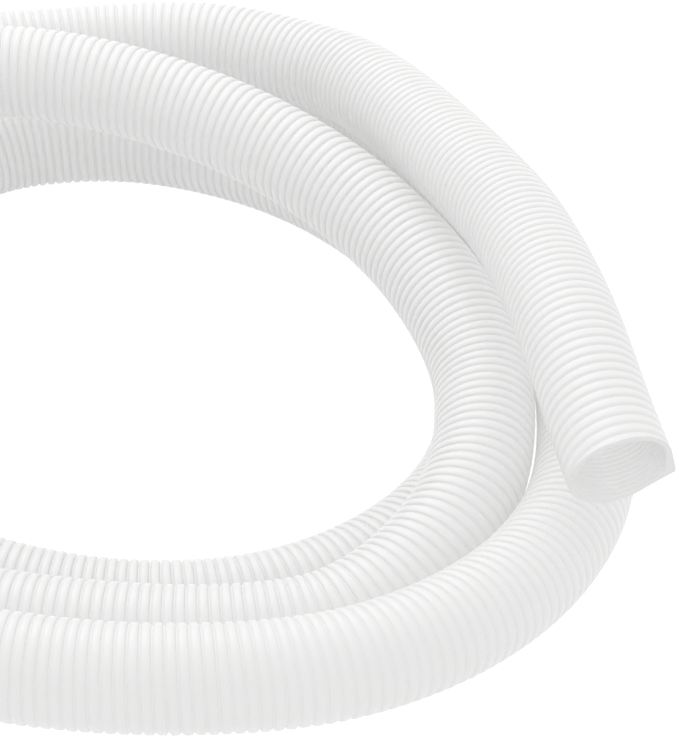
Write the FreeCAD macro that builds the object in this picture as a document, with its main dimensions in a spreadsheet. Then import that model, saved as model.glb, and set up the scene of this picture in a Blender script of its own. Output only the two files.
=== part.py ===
import FreeCAD, Part
import math
import os
import Sketcher
from FreeCAD import Placement, Rotation, Vector

# Ribbed vacuum hose for a pool, coiled loosely in three turns on the floor.
# One end is a bare square cut that shows the bore. The other end is screwed and glued into a
# threaded sleeve, on which a swivel cuff turns, held by a retaining ring and closed by a seal.
# Millimetres. +X is to the right, +Y to the back and +Z up; the origin is under the middle.

doc = FreeCAD.newDocument("VacuumHose")

SIZES = [
    ("hose_outside", 44.0, "over the rib crests"),
    ("hose_wall", 1.0, "wall under a groove"),
    ("rib_height", 2.0, "crest above groove"),
    ("rib_pitch", 4.8, "rib to rib"),
    ("rib_flank", 0.3, "slope of a rib's side, along the hose"),
    ("groove_width", 0.7, "floor of the groove between ribs"),
    ("ribs_shown", 4, "ribs modelled at the bare end"),
    ("coil_facets", 8, "sides of the coiled tube and its tail"),
    ("drawn_hose", 44.0, "hose that the coil's points were chosen for"),
    ("glue_gap", 0.15, "hose to sleeve, radial"),
    ("sleeve_wall", 2.2, ""),
    ("sleeve_grip", 24.0, "sleeve left bare ahead of the cuff"),
    ("sleeve_stop", 3.0, "inner collar that stops the hose"),
    ("flange_height", 2.2, "flange that holds the cuff"),
    ("flange_length", 4.0, ""),
    ("swivel_gap", 0.3, "running clearance of the swivel"),
    ("seat_gap", 0.2, "each side of the seal"),
    ("ring_inset", 2.0, "ring behind the cuff's edge"),
    ("ring_length", 4.0, ""),
    ("ring_fit", 0.05, "ring in the cuff, radial"),
    ("seal_length", 2.0, ""),
    ("seal_width", 5.6, ""),
    ("cuff_bore", 38.1, "inch and a half"),
    ("cuff_wall", 2.4, "round the chamber"),
    ("throat_length", 50.0, "straight bore for the fitting"),
    ("barrel_wall", 3.6, "round the throat"),
    ("mouth_lead", 1.5, "chamfer at the mouth"),
    ("collar_length", 20.0, ""),
    ("barrel_step", 4.0, "cone from the collar to the barrel"),
    ("grip_count", 8, "grip ribs round the collar"),
    ("grip_height", 1.0, ""),
    ("grip_width", 4.0, ""),
    ("grip_inset", 2.0, "collar left plain at each end of a grip rib"),
]
sheet = doc.addObject("Spreadsheet::Sheet", "Sizes")
for row, (alias, value, note) in enumerate(SIZES, start=1):
    sheet.set("A%d" % row, alias)
    sheet.set("B%d" % row, "%g" % value)
    sheet.set("C%d" % row, note)
    sheet.setAlias("B%d" % row, alias)
doc.recompute()


def size(alias):
    return float(sheet.get(alias))


hose_radius = size("hose_outside") / 2
groove_radius = hose_radius - size("rib_height")
bore_radius = groove_radius - size("hose_wall")
end_run = size("hose_outside")

# A faceted tube that lies on the floor is cut flat by a tenth of its diameter.
floor_cut = size("hose_outside") / 10
lying_height = hose_radius - floor_cut

# The swivel's radii, and its stations along its axis from the sleeve's hose side to the mouth.
SLEEVE_BORE = "Sizes.hose_outside / 2 + Sizes.glue_gap"
SLEEVE_RADIUS = SLEEVE_BORE + " + Sizes.sleeve_wall"
FLANGE_RADIUS = SLEEVE_RADIUS + " + Sizes.flange_height"
CHAMBER_RADIUS = FLANGE_RADIUS + " + Sizes.swivel_gap"
COLLAR_RADIUS = CHAMBER_RADIUS + " + Sizes.cuff_wall"
HOSE_BORE = "Sizes.hose_outside / 2 - Sizes.rib_height - Sizes.hose_wall"
THROAT_RADIUS = "Sizes.cuff_bore / 2"
RING_START = "Sizes.sleeve_grip + Sizes.ring_inset"
RING_END = RING_START + " + Sizes.ring_length"
FLANGE_START = RING_END + " + Sizes.swivel_gap"
SLEEVE_END = FLANGE_START + " + Sizes.flange_length"
HOSE_STOP = SLEEVE_END + " - Sizes.sleeve_stop"
SEAL_START = SLEEVE_END + " + Sizes.seat_gap"
SEAL_END = SEAL_START + " + Sizes.seal_length"
CHAMBER_END = SEAL_END + " + Sizes.seat_gap"
MOUTH = CHAMBER_END + " + Sizes.throat_length"
COLLAR_END = "Sizes.sleeve_grip + Sizes.collar_length"


def origin_part(body, role):
    return [part for part in body.Origin.OriginFeatures if part.Role == role][0]


def bound_outline(sketch, corners):
    """A closed outline whose corners each have both distances bound to the sheet."""
    rough = [Vector(1 + number, 1 + number * number, 0) for number in range(len(corners))]
    for number, point in enumerate(rough):
        sketch.addGeometry(Part.LineSegment(point, rough[(number + 1) % len(rough)]), False)
    for number, (across, up) in enumerate(corners):
        following = (number + 1) % len(corners)
        sketch.addConstraint(Sketcher.Constraint("Coincident", number, 2, following, 1))
        bound = [("DistanceX", rough[number].x, across), ("DistanceY", rough[number].y, up)]
        for kind, rough_value, text in bound:
            index = sketch.addConstraint(Sketcher.Constraint(kind, -1, 1, number, 1, rough_value))
            sketch.setExpression("Constraints[%d]" % index, text)


def turned_body(label, corners):
    """A body turned about its own X axis from (along, radius) corners."""
    body = doc.addObject("PartDesign::Body", label)
    sketch = body.newObject("Sketcher::SketchObject", label + "_profile")
    sketch.AttachmentSupport = (origin_part(body, "XY_Plane"), [""])
    sketch.MapMode = "FlatFace"
    bound_outline(sketch, corners)
    turn = body.newObject("PartDesign::Revolution", label + "_turned")
    turn.Profile = sketch
    turn.ReferenceAxis = (sketch, ["H_Axis"])
    turn.Angle = 360
    body.Tip = turn
    return body


def tail_bar(label, radius):
    """A bar with the coil's facets along the X axis, as long as the hose in the sleeve."""
    bar = doc.addObject("Part::Prism", label)
    bar.setExpression("Polygon", "Sizes.coil_facets")
    bar.setExpression("Circumradius", radius)
    bar.setExpression("Height", HOSE_STOP)
    bar.Placement.Rotation = Rotation(Vector(1, 1, 1), 120)
    return bar


def hose_tail():
    """The hose's far end inside the sleeve, up to the stop."""
    tail = doc.addObject("Part::Cut", "hose_tail")
    tail.Base = tail_bar("tail_outside", "Sizes.hose_outside / 2")
    tail.Tool = tail_bar("tail_bore", HOSE_BORE)
    return tail


def hose_sleeve():
    """The sleeve on the hose, with a stop inside and the flange that holds the cuff."""
    return turned_body("hose_sleeve", [
        ("0", SLEEVE_BORE), ("0", SLEEVE_RADIUS), (FLANGE_START, SLEEVE_RADIUS),
        (FLANGE_START, FLANGE_RADIUS), (SLEEVE_END, FLANGE_RADIUS), (SLEEVE_END, HOSE_BORE),
        (HOSE_STOP, HOSE_BORE), (HOSE_STOP, SLEEVE_BORE)])


def cuff_ring():
    """The ring seated in the cuff, behind the sleeve's flange."""
    inner = SLEEVE_RADIUS + " + Sizes.swivel_gap"
    outer = CHAMBER_RADIUS + " - Sizes.ring_fit"
    return turned_body("cuff_ring", [
        (RING_START, inner), (RING_START, outer), (RING_END, outer), (RING_END, inner)])


def cuff_seal():
    """The flat seal between the flange and the bottom of the cuff's chamber."""
    inner = FLANGE_RADIUS + " - Sizes.seal_width"
    return turned_body("cuff_seal", [
        (SEAL_START, inner), (SEAL_START, FLANGE_RADIUS), (SEAL_END, FLANGE_RADIUS), (SEAL_END, inner)])


def swivel_cuff():
    """The turning cuff: chamber, collar with grip ribs, and a barrel with a straight throat."""
    lead = "Sizes.mouth_lead"
    barrel = THROAT_RADIUS + " + Sizes.barrel_wall"
    body = turned_body("swivel_cuff", [
        ("Sizes.sleeve_grip", CHAMBER_RADIUS), ("Sizes.sleeve_grip", COLLAR_RADIUS),
        (COLLAR_END, COLLAR_RADIUS), (COLLAR_END + " + Sizes.barrel_step", barrel), (MOUTH, barrel),
        (MOUTH, THROAT_RADIUS + " + " + lead), (MOUTH + " - " + lead, THROAT_RADIUS),
        (CHAMBER_END, THROAT_RADIUS), (CHAMBER_END, CHAMBER_RADIUS)])
    sketch = body.newObject("Sketcher::SketchObject", "grip_profile")
    sketch.AttachmentSupport = (origin_part(body, "YZ_Plane"), [""])
    sketch.MapMode = "FlatFace"
    sketch.setExpression("AttachmentOffset.Base.x", "-Sizes.grip_width / 2")
    sketch.setExpression("AttachmentOffset.Base.z", "Sizes.sleeve_grip + Sizes.grip_inset")
    top = COLLAR_RADIUS + " + Sizes.grip_height"
    foot = COLLAR_RADIUS + " - Sizes.cuff_wall / 2"
    bound_outline(sketch, [
        ("0", foot), ("0", top), ("Sizes.grip_width", top), ("Sizes.grip_width", foot)])
    grip = body.newObject("PartDesign::Pad", "grip_rib")
    grip.Profile = sketch
    grip.setExpression("Length", "Sizes.collar_length - 2 * Sizes.grip_inset")
    pattern = body.newObject("PartDesign::PolarPattern", "grip_ribs")
    pattern.Originals = [grip]
    pattern.Axis = (origin_part(body, "X_Axis"), [""])
    pattern.Angle = 360
    pattern.setExpression("Occurrences", "Sizes.grip_count")
    body.Tip = pattern
    return body


swivel = [hose_tail(), hose_sleeve(), cuff_ring(), cuff_seal(), swivel_cuff()]
doc.recompute()
floor_clearance = 0.2
swivel_height = swivel[-1].Shape.BoundBox.ZMax + floor_clearance

# The way in on the floor, from the swivel outside the coil on the left, under the loops and to
# the back inside them: sideways, backwards, and the course there.
route_scale = size("hose_outside") / size("drawn_hose")
WAY_IN = [(-352.0, -75.0, "back"), (-240.0, 20.0, "right"), (-120.0, 118.0, "back")]
# Outermost points of the coil's loops, a quarter turn apart, starting at the back:
# sideways, backwards, and lift above a tube that lies on the floor.
LOOPS = [
    (-30.0, 223.0, 0.0), (172.0, 26.0, 0.0), (34.0, -115.0, 0.0), (-186.0, 22.0, 47.0),
    (-78.0, 168.0, 70.0), (163.0, -44.0, 45.0), (57.0, -158.0, 28.0), (-275.0, 8.0, 47.0),
    (8.0, 277.0, 0.0), (219.0, -7.0, 36.0), (53.0, -212.0, 57.0), (-291.0, -1.0, 96.0),
    (8.0, 231.0, 55.0),
]
# The stretch to the bare end: bend radius, then heading right of straight ahead and rise, in
# degrees, at the end of each bend. The tube runs straight between the first two bends.
LAST_COIL_BEND = (131.0, 23.4, 10.0)
END_BEND = (490.0, 8.7, 9.0)
END_DROOP = (220.0, 12.9, -15.2)
COURSES = {"right": Vector(1, 0, 0), "front": Vector(0, -1, 0), "left": Vector(-1, 0, 0),
           "back": Vector(0, 1, 0)}


def arc_to(start, tangent, end):
    """An arc from start along tangent to end."""
    chord = end - start
    along = chord.dot(tangent)
    aside = chord - tangent * along
    radius = chord.dot(chord) / (2 * aside.Length)
    turn = 2 * math.atan2(aside.Length, along)
    aside.normalize()
    half = turn / 2
    middle = start + tangent * (radius * math.sin(half)) + aside * (radius * (1 - math.cos(half)))
    return Part.Arc(start, middle, end).toShape(), radius


def biarc(start, tangent, end, end_tangent):
    """A quarter turn in two arcs, shaped like a quarter of an ellipse."""
    step = end - start
    ahead = step.dot(tangent)
    aside = step.dot(end_tangent)
    square = ahead * ahead + aside * aside
    product = 2 * ahead * aside
    share = (math.sqrt(square * square + product * step.dot(step)) - square) / product
    first = start + tangent * (share * ahead)
    second = end - end_tangent * (share * aside)
    joint = (first * aside + second * ahead) * (1 / (ahead + aside))
    middle_tangent = second - first
    middle_tangent.normalize()
    return [arc_to(start, tangent, joint), arc_to(joint, middle_tangent, end)]


def heading(right, rise):
    """Unit direction that points to the front, turned right and up by degrees."""
    right = math.radians(right)
    rise = math.radians(rise)
    level = math.cos(rise)
    return Vector(math.sin(right) * level, -math.cos(right) * level, math.sin(rise))


def bend(start, tangent, radius, end_tangent):
    """An arc of a given radius that turns tangent into end_tangent."""
    turn = tangent.getAngle(end_tangent)
    inward = end_tangent - tangent * tangent.dot(end_tangent)
    inward.normalize()
    end = start + tangent * (radius * math.sin(turn)) + inward * (radius * (1 - math.cos(turn)))
    return arc_to(start, tangent, end)[0], end


# The coil's route: straight out of the sleeve, in under the loops, round them, and straight to
# the bare end. Each point has the tangent of the route there.
points = []
tangents = []
for across, back, course in WAY_IN:
    points.append(Vector(across, back, 0) * route_scale + Vector(0, 0, lying_height))
    tangents.append(COURSES[course])
for number, (across, back, lift) in enumerate(LOOPS):
    points.append(Vector(across, back, lift) * route_scale + Vector(0, 0, lying_height))
    tangents.append(list(COURSES.values())[number % 4])
points[0].z = swivel_height
sleeve_mouth = points[0] - tangents[0] * end_run
coil_edges = [Part.LineSegment(sleeve_mouth, points[0]).toShape()]
bend_radii = []
for number in range(len(points) - 1):
    turn = biarc(points[number], tangents[number], points[number + 1], tangents[number + 1])
    for edge, radius in turn:
        coil_edges.append(edge)
        bend_radii.append(radius)
last_radius, last_right, last_rise = LAST_COIL_BEND
ahead = heading(last_right, last_rise)
edge, coil_turned = bend(points[-1], tangents[-1], last_radius * route_scale, ahead)
coil_end = coil_turned + ahead * end_run
coil_edges += [edge, Part.LineSegment(coil_turned, coil_end).toShape()]

# The bare end's route, from the coil's end face to the cut.
end_straight = coil_end + ahead * end_run
end_edges = [Part.LineSegment(coil_end, end_straight).toShape()]
joint, tangent = end_straight, ahead
for radius, right, rise in (END_BEND, END_DROOP):
    new_tangent = heading(right, rise)
    edge, joint = bend(joint, tangent, radius * route_scale, new_tangent)
    tangent = new_tangent
    end_edges.append(edge)

coil_route = Part.Wire(coil_edges)
end_route = Part.Wire(end_edges)


def along(edges, distance):
    """Point and tangent at a distance along a chain of edges."""
    for edge in edges:
        if distance <= edge.Length or edge is edges[-1]:
            parameter = edge.getParameterByLength(min(distance, edge.Length))
            return edge.valueAt(parameter), edge.tangentAt(parameter)
        distance -= edge.Length


def least_gap(edges, spacing, skip):
    """Least gap of the tube to itself, between points at least skip apart along it."""
    length = sum(edge.Length for edge in edges)
    count = int(length / spacing)
    spots = [along(edges, length * number / count)[0] for number in range(count + 1)]
    apart = int(skip / spacing)
    least = length
    for number, spot in enumerate(spots):
        for other in spots[number + apart:]:
            least = min(least, spot.distanceToPoint(other))
    return least - 2 * hose_radius


def ring_wire(point, tangent, radius):
    """A circle square to the route, with its seam on a steady sideways axis."""
    sideways = tangent.cross(Vector(0, 0, 1))
    wire = Part.Wire(Part.Circle(Vector(0, 0, 0), Vector(0, 0, 1), radius).toShape())
    wire.Placement = Placement(point, Rotation(sideways, Vector(0, 0, 0), tangent, "ZXY"))
    return wire


def tube_loft(stations):
    """A closed ruled loft through circles at (distance, radius) on the bare end's route."""
    rings = []
    for distance, radius in stations:
        point, tangent = along(end_edges, distance)
        rings.append(ring_wire(point, tangent, radius))
    return Part.makeLoft(rings, True, True)


def evenly(start, end, longest):
    """Distances from start to end in equal steps no longer than longest."""
    count = max(1, math.ceil((end - start) / longest))
    return [start + (end - start) * number / count for number in range(count + 1)]


def hose_coil():
    """One unbroken faceted tube, swept along the coil's route and cut flat on the floor."""
    route = doc.addObject("Part::Feature", "coil_route")
    route.Shape = coil_route
    profile = doc.addObject("Part::RegularPolygon", "coil_profile")
    profile.setExpression("Polygon", "Sizes.coil_facets")
    profile.setExpression("Circumradius", "Sizes.hose_outside / 2")
    profile.Placement = Placement(sleeve_mouth, Rotation(Vector(1, 0, 0), 90))
    sweep = doc.addObject("Part::Sweep", "coil_tube")
    sweep.Sections = [profile]
    sweep.Spine = (route, [])
    sweep.Solid = True
    sweep.Frenet = False
    slab = doc.addObject("Part::Box", "floor_slab")
    reach = 2 * coil_route.BoundBox.DiagonalLength
    slab.Length = 2 * reach
    slab.Width = 2 * reach
    slab.Height = reach
    slab.Placement.Base = Vector(-reach, -reach, -reach)
    coil = doc.addObject("Part::Cut", "hose_coil")
    coil.Base = sweep
    coil.Tool = slab
    return coil


def hose_end():
    """The bare end: a plain stretch, then ribs up to the square cut, with the bore right through."""
    length = end_route.Length
    pitch = size("rib_pitch")
    flank = size("rib_flank")
    groove = size("groove_width")
    ribbed = length - size("ribs_shown") * pitch
    longest_step = size("hose_outside")
    plain = evenly(0.0, ribbed - flank, longest_step)
    outside = [(distance, hose_radius) for distance in plain]
    for number in range(int(size("ribs_shown"))):
        start = ribbed + number * pitch
        outside += [(start, groove_radius), (start + groove, groove_radius)]
        outside += [(start + groove + flank, hose_radius), (start + pitch - flank, hose_radius)]
    outside.append((length, groove_radius))
    bore = [(distance, bore_radius) for distance in plain + evenly(ribbed, length, longest_step)]
    tube = doc.addObject("Part::Feature", "hose_end")
    tube.Shape = tube_loft(outside).cut(tube_loft(bore))
    return tube


coil = hose_coil()
bare_end = hose_end()
along_the_swivel = Rotation(Vector(0, 0, 1), -90)
for piece in swivel:
    piece.Placement = Placement(sleeve_mouth, along_the_swivel)
doc.recompute()

# The frame's origin goes under the middle of the whole hose, on the floor.
pieces = [coil, bare_end] + swivel
box = FreeCAD.BoundBox()
for piece in pieces:
    box.add(piece.Shape.optimalBoundingBox(False, False))
to_frame = Vector(-box.Center.x, -box.Center.y, -box.ZMin)
for piece in pieces:
    piece.Placement.Base = piece.Placement.Base + to_frame
doc.recompute()

for item in doc.Objects:
    if "Invalid" in item.State or "Error" in item.State:
        raise RuntimeError("%s failed: %s" % (item.Label, item.State))
for piece in pieces:
    if piece.Shape.isNull() or not piece.Shape.isValid():
        raise RuntimeError("%s has no valid shape" % piece.Label)

facets = size("coil_facets")
section = facets / 2 * hose_radius ** 2 * math.sin(2 * math.pi / facets)
probe_spacing = size("hose_outside") / 5
probe_skip = 4 * size("hose_outside")
gap = least_gap(coil_edges + end_edges, probe_spacing, probe_skip)
print("hose length %.0f mm, coil %.0f mm" % (coil_route.Length + end_route.Length, coil_route.Length))
print("bend radii %s mm" % ", ".join("%.0f" % radius for radius in bend_radii))
print("least gap of the hose to itself %.2f mm" % gap)
print("coil volume %.0f mm3" % coil.Base.Shape.Volume)
print("section times length %.0f mm3" % (section * coil_route.Length))
print("whole hose %.0f x %.0f x %.0f mm" % (box.XLength, box.YLength, box.ZLength))
print("frame moved by %.2f, %.2f, %.2f mm" % tuple(to_frame))
print("swivel axis starts at %.2f, %.2f, %.2f mm" % tuple(sleeve_mouth + to_frame))

os.makedirs("parts", exist_ok=True)
for piece in pieces:
    piece.Shape.exportStep("parts/%s.step" % piece.Label)
    print(piece.Label, "%.0f mm3" % piece.Shape.Volume)
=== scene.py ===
import math

import bpy
import numpy as np
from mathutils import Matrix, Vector


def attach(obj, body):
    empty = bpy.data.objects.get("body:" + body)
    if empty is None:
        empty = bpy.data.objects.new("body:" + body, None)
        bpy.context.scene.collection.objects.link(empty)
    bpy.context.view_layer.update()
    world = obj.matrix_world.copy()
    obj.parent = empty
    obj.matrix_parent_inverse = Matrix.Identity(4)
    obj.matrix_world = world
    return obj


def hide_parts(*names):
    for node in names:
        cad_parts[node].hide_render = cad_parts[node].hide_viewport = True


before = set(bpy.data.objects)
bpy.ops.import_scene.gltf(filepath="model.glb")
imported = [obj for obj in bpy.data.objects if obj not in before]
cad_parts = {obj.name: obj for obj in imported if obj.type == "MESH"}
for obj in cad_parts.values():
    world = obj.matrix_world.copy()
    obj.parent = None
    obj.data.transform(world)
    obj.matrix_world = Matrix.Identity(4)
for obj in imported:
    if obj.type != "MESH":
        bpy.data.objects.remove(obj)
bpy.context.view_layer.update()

# Ribbed white vacuum hose for a pool, coiled loosely on a pale floor. Metres, in the row frame:
# +X to the right, +Y to the back, +Z up.

bpy.ops.object.select_all(action="DESELECT")

HOSE_RADIUS = 0.022
BORE_RADIUS = 0.019
RIB_PITCH = 0.0048
SLEEVE_DEPTH = 0.0313
SWIVEL_HEIGHT = 0.03045
# From the swivel's middle back to the sleeve's mouth, and on to where the hose starts to bend.
MOUTH_DISTANCE = 2 * HOSE_RADIUS
STRAIGHT_LEAD = 0.012

# The route's points lie round the coil's own centre, which is here in the row frame.
COIL_CENTRE = np.array((0.07069, -0.03275, 0.0))
RIGHT = np.array((1.0, 0.0, 0.0))
FRONT = np.array((0.0, -1.0, 0.0))
LEFT = np.array((-1.0, 0.0, 0.0))
BACK = np.array((0.0, 1.0, 0.0))
COURSES = (RIGHT, FRONT, LEFT, BACK)
# The way in on the floor from the swivel, under the loops: sideways, backwards and the course.
WAY_IN = (((-0.352, -0.075), BACK), ((-0.239, 0.019), RIGHT), ((-0.133, 0.123), BACK))
# Outermost points of the loops, a quarter turn apart, from the back: sideways, backwards, lift.
LOOPS = (
    (-0.025, 0.2265, 0.001), (0.1706, 0.017, 0.0), (0.029, -0.117, 0.0), (-0.187, 0.021, 0.046),
    (-0.079, 0.171, 0.082), (0.167, -0.041, 0.045), (0.065, -0.158, 0.025), (-0.275, 0.008, 0.047),
    (0.0003, 0.282, 0.0), (0.2119, -0.0423, 0.0392), (0.0469, -0.211, 0.056), (-0.293, -0.003, 0.0965),
    (0.009, 0.228, 0.052),
)
# The loose end: sideways, backwards and height of its points, the last one at the cut.
LOOSE_END = (
    (0.031, 0.232, 0.079), (0.081, 0.2105, 0.0815), (0.12, 0.1755, 0.091), (0.1762, 0.0453, 0.118),
    (0.1916, -0.0142, 0.1262), (0.2005, -0.0634, 0.131), (0.2093, -0.1137, 0.1263),
    (0.2164, -0.1426, 0.1221),
)
POINTS_PER_QUARTER = 4
LINE_RESOLUTION = 20


def quarter_turn(start, start_course, end, end_course):
    """Points round a quarter of an oval from start to end, which they bend towards."""
    ahead = (end - start) @ start_course
    aside = (end - start) @ end_course
    middle = start + end_course * aside
    half_step = math.pi / 4 / POINTS_PER_QUARTER
    points = []
    for number in range(POINTS_PER_QUARTER):
        angle = half_step * (2 * number + 1)
        outwards = start_course * ahead * math.sin(angle) - end_course * aside * math.cos(angle)
        point = middle + outwards / math.cos(half_step)
        point[2] = start[2] + (end[2] - start[2]) * math.sin(angle) ** 2
        points.append(point)
    return points


def route_points():
    """Control points of the whole hose: swivel, way in, loops and loose end."""
    stations = [np.array((across, back, HOSE_RADIUS)) for (across, back), course in WAY_IN]
    courses = [course for place, course in WAY_IN]
    for number, (across, back, lift) in enumerate(LOOPS):
        stations.append(np.array((across, back, HOSE_RADIUS + lift)))
        courses.append(COURSES[number % 4])
    stations[0][2] = SWIVEL_HEIGHT
    sleeve_mouth = stations[0] - MOUTH_DISTANCE * courses[0]
    points = [sleeve_mouth - SLEEVE_DEPTH * courses[0], sleeve_mouth + STRAIGHT_LEAD * courses[0]]
    for number in range(len(stations) - 1):
        points += quarter_turn(stations[number], courses[number],
                               stations[number + 1], courses[number + 1])
    points += [np.array(place) for place in LOOSE_END]
    return [point + COIL_CENTRE for point in points]


def smooth_line(control_points):
    """The points of a NURBS curve that has these control points."""
    curve = bpy.data.curves.new("hose_route", "CURVE")
    curve.dimensions = "3D"
    curve.resolution_u = LINE_RESOLUTION
    spline = curve.splines.new("NURBS")
    spline.points.add(len(control_points) - 1)
    for point, place in zip(spline.points, control_points):
        point.co = (*place, 1.0)
    spline.order_u = 3
    spline.use_endpoint_u = True
    carrier = bpy.data.objects.new("hose_route", curve)
    mesh = bpy.data.meshes.new_from_object(carrier)
    line = np.array([vertex.co for vertex in mesh.vertices])
    bpy.data.meshes.remove(mesh)
    bpy.data.objects.remove(carrier)
    bpy.data.curves.remove(curve)
    return line


class Route:
    """The hose's centreline, with directions across it that don't twist along it."""

    def __init__(self, line):
        steps = np.linalg.norm(np.diff(line, axis=0), axis=1)
        self.line = line
        self.reached = np.concatenate(([0.0], np.cumsum(steps)))
        self.length = self.reached[-1]
        tangents = np.gradient(line, self.reached, axis=0)
        self.tangents = tangents / np.linalg.norm(tangents, axis=1)[:, None]
        side = np.cross(self.tangents[0], (0.0, 0.0, 1.0))
        sides = [side / np.linalg.norm(side)]
        for number in range(len(line) - 1):
            sides.append(self.carried(sides[-1], number))
        self.sides = np.array(sides)

    def carried(self, side, number):
        """The side direction one step further, by two reflections."""
        chord = self.line[number + 1] - self.line[number]
        square = chord @ chord
        mirrored_side = side - 2 / square * (chord @ side) * chord
        tangent = self.tangents[number]
        mirrored_tangent = tangent - 2 / square * (chord @ tangent) * chord
        turn = self.tangents[number + 1] - mirrored_tangent
        carried = mirrored_side - 2 / (turn @ turn) * (turn @ mirrored_side) * turn
        return carried / np.linalg.norm(carried)

    def spread(self, values, distances):
        """Values along the line, at these distances."""
        return np.stack([np.interp(distances, self.reached, column) for column in values.T], axis=-1)

    def around(self, distances, angles, radii):
        """Places at these distances, angles round the line and radii from it."""
        middles = self.spread(self.line, distances)
        tangents = self.spread(self.tangents, distances)
        sides = self.spread(self.sides, distances)
        sides /= np.linalg.norm(sides, axis=-1)[..., None]
        ups = np.cross(tangents, sides)
        ups /= np.linalg.norm(ups, axis=-1)[..., None]
        across = sides * np.cos(angles)[..., None] + ups * np.sin(angles)[..., None]
        return middles + across * radii[..., None]


def grid_faces(rows, columns, closed=False):
    """Quads of a grid of points. A closed grid's last column joins its first one."""
    column_count = columns if closed else columns - 1
    row, column = np.meshgrid(np.arange(rows - 1), np.arange(column_count), indexing="ij")
    next_row = (row + 1) * columns
    next_column = (column + 1) % columns
    corners = (row * columns + column, next_row + column, next_row + next_column,
               row * columns + next_column)
    return np.stack(corners, axis=-1).reshape(-1, 4)


def new_piece(name, points, faces):
    """A mesh piece at the origin from its points and faces."""
    mesh = bpy.data.meshes.new(name)
    mesh.from_pydata(points.reshape(-1, 3).tolist(), [], faces)
    mesh.update()
    piece = bpy.data.objects.new(name, mesh)
    bpy.context.scene.collection.objects.link(piece)
    return piece


def select_only(piece):
    bpy.ops.object.select_all(action="DESELECT")
    piece.select_set(True)
    bpy.context.view_layer.objects.active = piece


def merge_doubles(piece):
    select_only(piece)
    bpy.ops.object.mode_set(mode="EDIT")
    bpy.ops.mesh.select_all(action="SELECT")
    bpy.ops.mesh.remove_doubles(threshold=0.000001)
    bpy.ops.object.mode_set(mode="OBJECT")


def smooth_by_angle(piece, degrees):
    select_only(piece)
    bpy.ops.object.shade_smooth_by_angle(angle=math.radians(degrees))
    piece.select_set(False)


# Across a rib: distance from its middle along the hose, and radius. The last point is the
# next rib's first one.
RIB_PROFILE = np.array((
    (-0.00212, 0.0209), (-0.00178, 0.0215), (-0.0012, 0.0219), (0.0, 0.022),
    (0.0012, 0.0219), (0.00178, 0.0215), (0.00212, 0.0209), (0.00268, 0.0209),
))
RIB_STEPS_PER_TURN = 48
RIB_STRIPS = 4
# The last stretch has finer steps, for its ribs, its corrugated bore and its cut.
END_LENGTH = 0.06
HOSE_SIDES = 96
BORE_STEP = 0.0096
END_BORE_STEP = 0.0003
END_RIB_STEP = 0.0002
CORRUGATION_DEPTH = 0.0009
CORRUGATIONS_PER_RIB = 2
CORRUGATION_POWER = 0.6
CORRUGATION_FADE = 0.01
# The cut bent the wall out to a corner on the side that this direction points to.
CORNER_DIRECTION = np.array((0.91, 0.41, -0.3))
CORNER_HALF_ANGLE = math.radians(34)
CORNER_LENGTH = 0.011
CORNER_POWER = 1.6
BORE_SHARE_OF_CORNER = 0.35
# The way that the slanting cut faces, and how far its edge stays from the line's end.
CUT_NORMAL = np.array((0.27, -0.93, -0.24))
CUT_MARGIN = 0.0016
# Ragged places of the cut edge: angle from the corner, half width and depth.
RAGGED_PLACES = (
    (math.radians(196), math.radians(6), -0.0012), (math.radians(207), math.radians(4), -0.0009),
    (math.radians(216), math.radians(5), 0.0016), (math.radians(238), math.radians(7), -0.0006),
    (math.radians(284), math.radians(9), 0.0005), (math.radians(122), math.radians(8), 0.0004),
)


def make_rib_strip(route, name, first_step, last_step):
    """A stretch of the ribbed outside: the rib's profile carried round a helix."""
    steps = np.arange(first_step, last_step + 1)
    angles = steps * 2 * math.pi / RIB_STEPS_PER_TURN
    distances = (steps * RIB_PITCH / RIB_STEPS_PER_TURN)[:, None] + RIB_PROFILE[:, 0]
    rows, columns = distances.shape
    angles = np.broadcast_to(angles[:, None], distances.shape)
    radii = np.broadcast_to(RIB_PROFILE[:, 1], distances.shape)
    last = route.length - END_LENGTH
    points = route.around(np.clip(distances, 0.0, last), angles, radii)
    faces = grid_faces(rows, columns)
    reached = distances.reshape(-1)[faces]
    shown = (reached.min(axis=1) < last) & (reached.max(axis=1) > 0.0)
    strip = new_piece(name, points, faces[shown].tolist())
    merge_doubles(strip)
    return strip


def rib_phase(distances, angles):
    """How far a place is along the hose from the nearest rib's middle."""
    turns = distances / RIB_PITCH - angles / (2 * math.pi)
    return (turns - np.round(turns)) * RIB_PITCH


def from_corner(route, angles):
    """Angles round the hose from the cut's corner, up to half a turn either way."""
    up = np.cross(route.tangents[-1], route.sides[-1])
    corner = math.atan2(CORNER_DIRECTION @ up, CORNER_DIRECTION @ route.sides[-1])
    return (angles - corner + math.pi) % (2 * math.pi) - math.pi


def cut_at(route, angles):
    """How far along the hose its slanting, ragged cut meets the wall."""
    up = np.cross(route.tangents[-1], route.sides[-1])
    outwards = np.cos(angles)[..., None] * route.sides[-1] + np.sin(angles)[..., None] * up
    slant = HOSE_RADIUS * (outwards @ CUT_NORMAL) / (route.tangents[-1] @ CUT_NORMAL)
    edge = route.length - slant - slant.max() - CUT_MARGIN
    for place, half_width, depth in RAGGED_PLACES:
        away = np.abs((from_corner(route, angles) - place + math.pi) % (2 * math.pi) - math.pi)
        edge += depth * np.clip(1 - away / half_width, 0.0, 1.0)
    return edge


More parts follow.
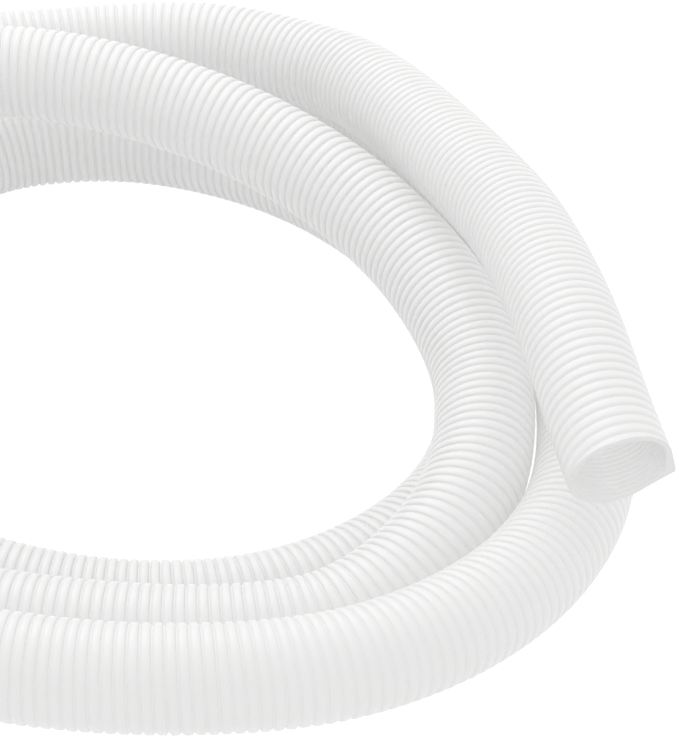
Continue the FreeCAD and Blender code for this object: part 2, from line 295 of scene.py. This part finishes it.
def cut_flare(route, distances, angles):
    """How far the wall stands out towards the cut's corner."""
    near_cut = np.clip(1 - (cut_at(route, angles) - distances) / CORNER_LENGTH, 0.0, 1.0)
    from_side = np.maximum(CORNER_HALF_ANGLE - np.abs(from_corner(route, angles)), 0.0)
    return HOSE_RADIUS * (1 / np.cos(from_side) - 1) * near_cut ** CORNER_POWER


def make_tube(route):
    """The far end's rim, the bore from end to end, the cut, and the last ribs back from it."""
    last = route.length - END_LENGTH
    plain = np.linspace(0.0, last, int(last / BORE_STEP))
    near_cut = np.linspace(last, route.length, int(END_LENGTH / END_BORE_STEP))
    bore_stops = np.concatenate((plain[:-1], near_cut))
    rib_stops = np.linspace(last, route.length, int(END_LENGTH / END_RIB_STEP))
    turn = np.arange(HOSE_SIDES) * 2 * math.pi / HOSE_SIDES
    distances, angles = np.meshgrid(bore_stops, turn, indexing="ij")
    distances = np.minimum(distances, cut_at(route, angles))
    fade = np.clip((distances - last) / CORRUGATION_FADE, 0.0, 1.0)
    waves = 2 * math.pi * CORRUGATIONS_PER_RIB
    wave = 0.5 + 0.5 * np.cos(waves * rib_phase(distances, angles) / RIB_PITCH)
    radii = BORE_RADIUS + CORRUGATION_DEPTH * fade * wave ** CORRUGATION_POWER
    radii += BORE_SHARE_OF_CORNER * cut_flare(route, distances, angles)
    bore = route.around(distances, angles, radii)
    distances, angles = np.meshgrid(rib_stops, turn, indexing="ij")
    distances = np.minimum(distances, cut_at(route, angles))
    heights = np.interp(rib_phase(distances, angles), RIB_PROFILE[:, 0], RIB_PROFILE[:, 1])
    heights += cut_flare(route, distances, angles)
    outside = route.around(distances, angles, heights)
    rim = route.around(np.zeros(HOSE_SIDES), turn, np.full(HOSE_SIDES, RIB_PROFILE[0, 1]))
    points = np.concatenate((rim, bore.reshape(-1, 3), outside[::-1].reshape(-1, 3)))
    rows = len(points) // HOSE_SIDES
    tube = new_piece("hose_bore", points, grid_faces(rows, HOSE_SIDES, closed=True).tolist())
    tube.data.materials.append(hose_white)
    tube.data.materials.append(hose_inside_painted_shade)
    # The rim's and the bore's faces come first.
    # They get the darker material, whose colour is painted shade for the inside of the tube.
    inside = [face.index // HOSE_SIDES <= len(bore_stops) for face in tube.data.polygons]
    tube.data.polygons.foreach_set("material_index", np.array(inside, dtype=np.int32))
    merge_doubles(tube)
    return tube


# Materials
def add_node(tree, kind, **inputs):
    node = tree.nodes.new(kind)
    for name, value in inputs.items():
        node.inputs[name.replace("_", " ")].default_value = value
    return node


def moulded_plastic_group():
    """Fine unevenness of moulded plastic: a tint mask, a roughness and a normal."""
    tree = bpy.data.node_groups.new("moulded_plastic", "ShaderNodeTree")
    interface = tree.interface
    settings = (("Tint A", "NodeSocketColor", (0.9, 0.9, 0.9, 1.0)),
                ("Tint B", "NodeSocketColor", (0.9, 0.9, 0.9, 1.0)),
                ("Patch Scale", "NodeSocketFloat", 20.0),
                ("Grain Scale", "NodeSocketFloat", 900.0),
                ("Grain Strength", "NodeSocketFloat", 0.1),
                ("Roughness Low", "NodeSocketFloat", 0.35),
                ("Roughness High", "NodeSocketFloat", 0.5))
    for name, kind, value in settings:
        socket = interface.new_socket(name=name, in_out="INPUT", socket_type=kind)
        socket.default_value = value
    for name, kind in (("Color", "NodeSocketColor"), ("Roughness", "NodeSocketFloat"),
                       ("Normal", "NodeSocketVector")):
        interface.new_socket(name=name, in_out="OUTPUT", socket_type=kind)
    given = tree.nodes.new("NodeGroupInput")
    result = tree.nodes.new("NodeGroupOutput")
    place = tree.nodes.new("ShaderNodeTexCoord")
    patches = add_node(tree, "ShaderNodeTexNoise", Detail=4.0, Roughness=0.55)
    grain = add_node(tree, "ShaderNodeTexNoise", Detail=2.0, Roughness=0.6)
    tint = tree.nodes.new("ShaderNodeMix")
    tint.data_type = "RGBA"
    rough = tree.nodes.new("ShaderNodeMapRange")
    bump = add_node(tree, "ShaderNodeBump", Distance=0.0002)
    link = tree.links.new
    link(place.outputs["Object"], patches.inputs["Vector"])
    link(place.outputs["Object"], grain.inputs["Vector"])
    link(given.outputs["Patch Scale"], patches.inputs["Scale"])
    link(given.outputs["Grain Scale"], grain.inputs["Scale"])
    link(patches.outputs["Fac"], tint.inputs["Factor"])
    link(given.outputs["Tint A"], tint.inputs["A"])
    link(given.outputs["Tint B"], tint.inputs["B"])
    link(grain.outputs["Fac"], rough.inputs["Value"])
    link(given.outputs["Roughness Low"], rough.inputs["To Min"])
    link(given.outputs["Roughness High"], rough.inputs["To Max"])
    link(given.outputs["Grain Strength"], bump.inputs["Strength"])
    link(grain.outputs["Fac"], bump.inputs["Height"])
    link(tint.outputs["Result"], result.inputs["Color"])
    link(rough.outputs["Result"], result.inputs["Roughness"])
    link(bump.outputs["Normal"], result.inputs["Normal"])
    return tree


MOULDED = moulded_plastic_group()


def plastic(name, tint_a, tint_b, patch_scale, grain_scale, grain, roughness, **constants):
    material = bpy.data.materials.new(name)
    material.use_nodes = True
    tree = material.node_tree
    shader = tree.nodes["Principled BSDF"]
    for socket, value in constants.items():
        shader.inputs[socket.replace("_", " ")].default_value = value
    moulded = tree.nodes.new("ShaderNodeGroup")
    moulded.node_tree = MOULDED
    for socket, value in (("Tint A", tint_a), ("Tint B", tint_b)):
        moulded.inputs[socket].default_value = (*value, 1.0)
    for socket, value in (("Patch Scale", patch_scale), ("Grain Scale", grain_scale),
                          ("Grain Strength", grain), ("Roughness Low", roughness[0]),
                          ("Roughness High", roughness[1])):
        moulded.inputs[socket].default_value = value
    tree.links.new(moulded.outputs["Color"], shader.inputs["Base Color"])
    tree.links.new(moulded.outputs["Roughness"], shader.inputs["Roughness"])
    tree.links.new(moulded.outputs["Normal"], shader.inputs["Normal"])
    return material


def any_of(tree, *ray_kinds):
    """1 where light has come by a ray of one of these kinds, else 0."""
    path = tree.nodes.new("ShaderNodeLightPath")
    result = path.outputs[ray_kinds[0]]
    for kind in ray_kinds[1:]:
        larger = tree.nodes.new("ShaderNodeMath")
        larger.operation = "MAXIMUM"
        tree.links.new(result, larger.inputs[0])
        tree.links.new(path.outputs[kind], larger.inputs[1])
        result = larger.outputs[0]
    return result


def between(tree, factor, low, high):
    """A value from low to high, as the factor goes from 0 to 1."""
    mixed = tree.nodes.new("ShaderNodeMapRange")
    mixed.inputs["To Min"].default_value = low
    mixed.inputs["To Max"].default_value = high
    tree.links.new(factor, mixed.inputs["Value"])
    return mixed.outputs["Result"]


def let_light_through(material, blocked):
    """Light on its way to another surface passes a thin wall, which stops this share of it."""
    tree = material.node_tree
    lighting = any_of(tree, "Is Shadow Ray", "Is Diffuse Ray")
    opacity = between(tree, lighting, 1.0, blocked)
    tree.links.new(opacity, tree.nodes["Principled BSDF"].inputs["Alpha"])


hose_white = plastic("hose_white", (0.95, 0.95, 0.945), (0.91, 0.91, 0.905), 14.0, 700.0, 0.08,
                     (0.32, 0.48), IOR=1.5)
# The inside's colours are a little darker than the outside's: painted shade for the bore, where little
# light gets in.
hose_inside_painted_shade = plastic("hose_inside_painted_shade", (0.89, 0.89, 0.885), (0.85, 0.85, 0.845), 14.0, 700.0, 0.08,
                      (0.4, 0.55), IOR=1.5)
for material in (hose_white, hose_inside_painted_shade):
    let_light_through(material, 0.1)
sleeve_white = plastic("sleeve_white", (0.88, 0.88, 0.87), (0.84, 0.84, 0.83), 25.0, 1200.0, 0.15,
                       (0.3, 0.42), IOR=1.5)
cuff_white = plastic("cuff_white", (0.9, 0.9, 0.89), (0.86, 0.86, 0.85), 25.0, 1200.0, 0.2,
                     (0.3, 0.45), IOR=1.5)
seal_black = plastic("seal_rubber", (0.06, 0.06, 0.06), (0.04, 0.04, 0.042), 60.0, 1500.0, 0.3,
                     (0.6, 0.8), IOR=1.5)

route = Route(smooth_line(route_points()))
tube = make_tube(route)
# The helix starts a turn early and ends a turn late, and is trimmed to the hose.
first_step = -RIB_STEPS_PER_TURN
last_step = int(((route.length - END_LENGTH) / RIB_PITCH + 1) * RIB_STEPS_PER_TURN)
strip_ends = np.linspace(first_step, last_step, RIB_STRIPS + 1).astype(int)
ribs = []
for number in range(RIB_STRIPS):
    name = "hose_ribs_%d" % (number + 1)
    ribs.append(make_rib_strip(route, name, strip_ends[number], strip_ends[number + 1]))
for piece in [tube] + ribs:
    smooth_by_angle(piece, 40)
for piece in ribs:
    piece.data.materials.append(hose_white)

NODE_MATERIALS = {"hose_sleeve": sleeve_white, "swivel_cuff": cuff_white, "cuff_ring": cuff_white,
                  "cuff_seal": seal_black}
for node, material in NODE_MATERIALS.items():
    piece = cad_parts[node]
    piece.data.materials.clear()
    piece.data.materials.append(material)

for piece in [tube] + ribs:
    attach(piece, "hose")
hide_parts("hose_coil", "hose_end", "hose_tail")

# The pale floor, seen as white, with the hose's soft shadow on it.
bpy.ops.mesh.primitive_plane_add(size=12.0, location=(0.0, 0.0, 0.0))
floor = bpy.context.object
floor.name = "floor"
floor.select_set(False)
floor_material = bpy.data.materials.new("floor_white")
floor_material.use_nodes = True
tree = floor_material.node_tree
shader = tree.nodes["Principled BSDF"]
shader.inputs["Base Color"].default_value = (0.88, 0.88, 0.88, 1.0)
shader.inputs["Roughness"].default_value = 0.9
shader.inputs["Specular IOR Level"].default_value = 0.0
shader.inputs["Emission Color"].default_value = (1.0, 1.0, 1.0, 1.0)
# Seen by the eye: directly, in a reflection or through something clear.
SEEN = ("Is Camera Ray", "Is Glossy Ray", "Is Transmission Ray")
glow = between(tree, any_of(tree, *SEEN), 0.0, 0.45)
tree.links.new(glow, shader.inputs["Emission Strength"])
floor.data.materials.append(floor_material)

# Soft light from all round, white where it is seen.
world = bpy.data.worlds.new("studio")
bpy.context.scene.world = world
world.use_nodes = True
tree = world.node_tree
tree.nodes["Background"].inputs["Color"].default_value = (1.0, 1.0, 1.0, 1.0)
strength = between(tree, any_of(tree, *SEEN), 0.87, 1.0)
tree.links.new(strength, tree.nodes["Background"].inputs["Strength"])


def soft_lamp(name, place, aim, size, power):
    light = bpy.data.lights.new(name, "AREA")
    light.size = size
    light.energy = power
    lamp = bpy.data.objects.new(name, light)
    lamp.visible_camera = False
    lamp.location = place
    lamp.rotation_euler = (Vector(aim) - Vector(place)).to_track_quat("-Z", "Y").to_euler()
    bpy.context.scene.collection.objects.link(lamp)


soft_lamp("key", (-0.6, 1.4, 1.6), (0.0, 0.0, 0.0), 1.6, 10.0)

camera = bpy.data.objects.new("camera", bpy.data.cameras.new("camera"))
camera.data.lens = 146.14
camera.data.sensor_width = 36.0
camera.location = (0.1743, -1.06075, 0.9212)
camera.rotation_euler = (math.radians(50.0), 0.0, 0.0)
bpy.context.scene.collection.objects.link(camera)
bpy.context.scene.camera = camera

bpy.context.scene.view_settings.view_transform = "Standard"
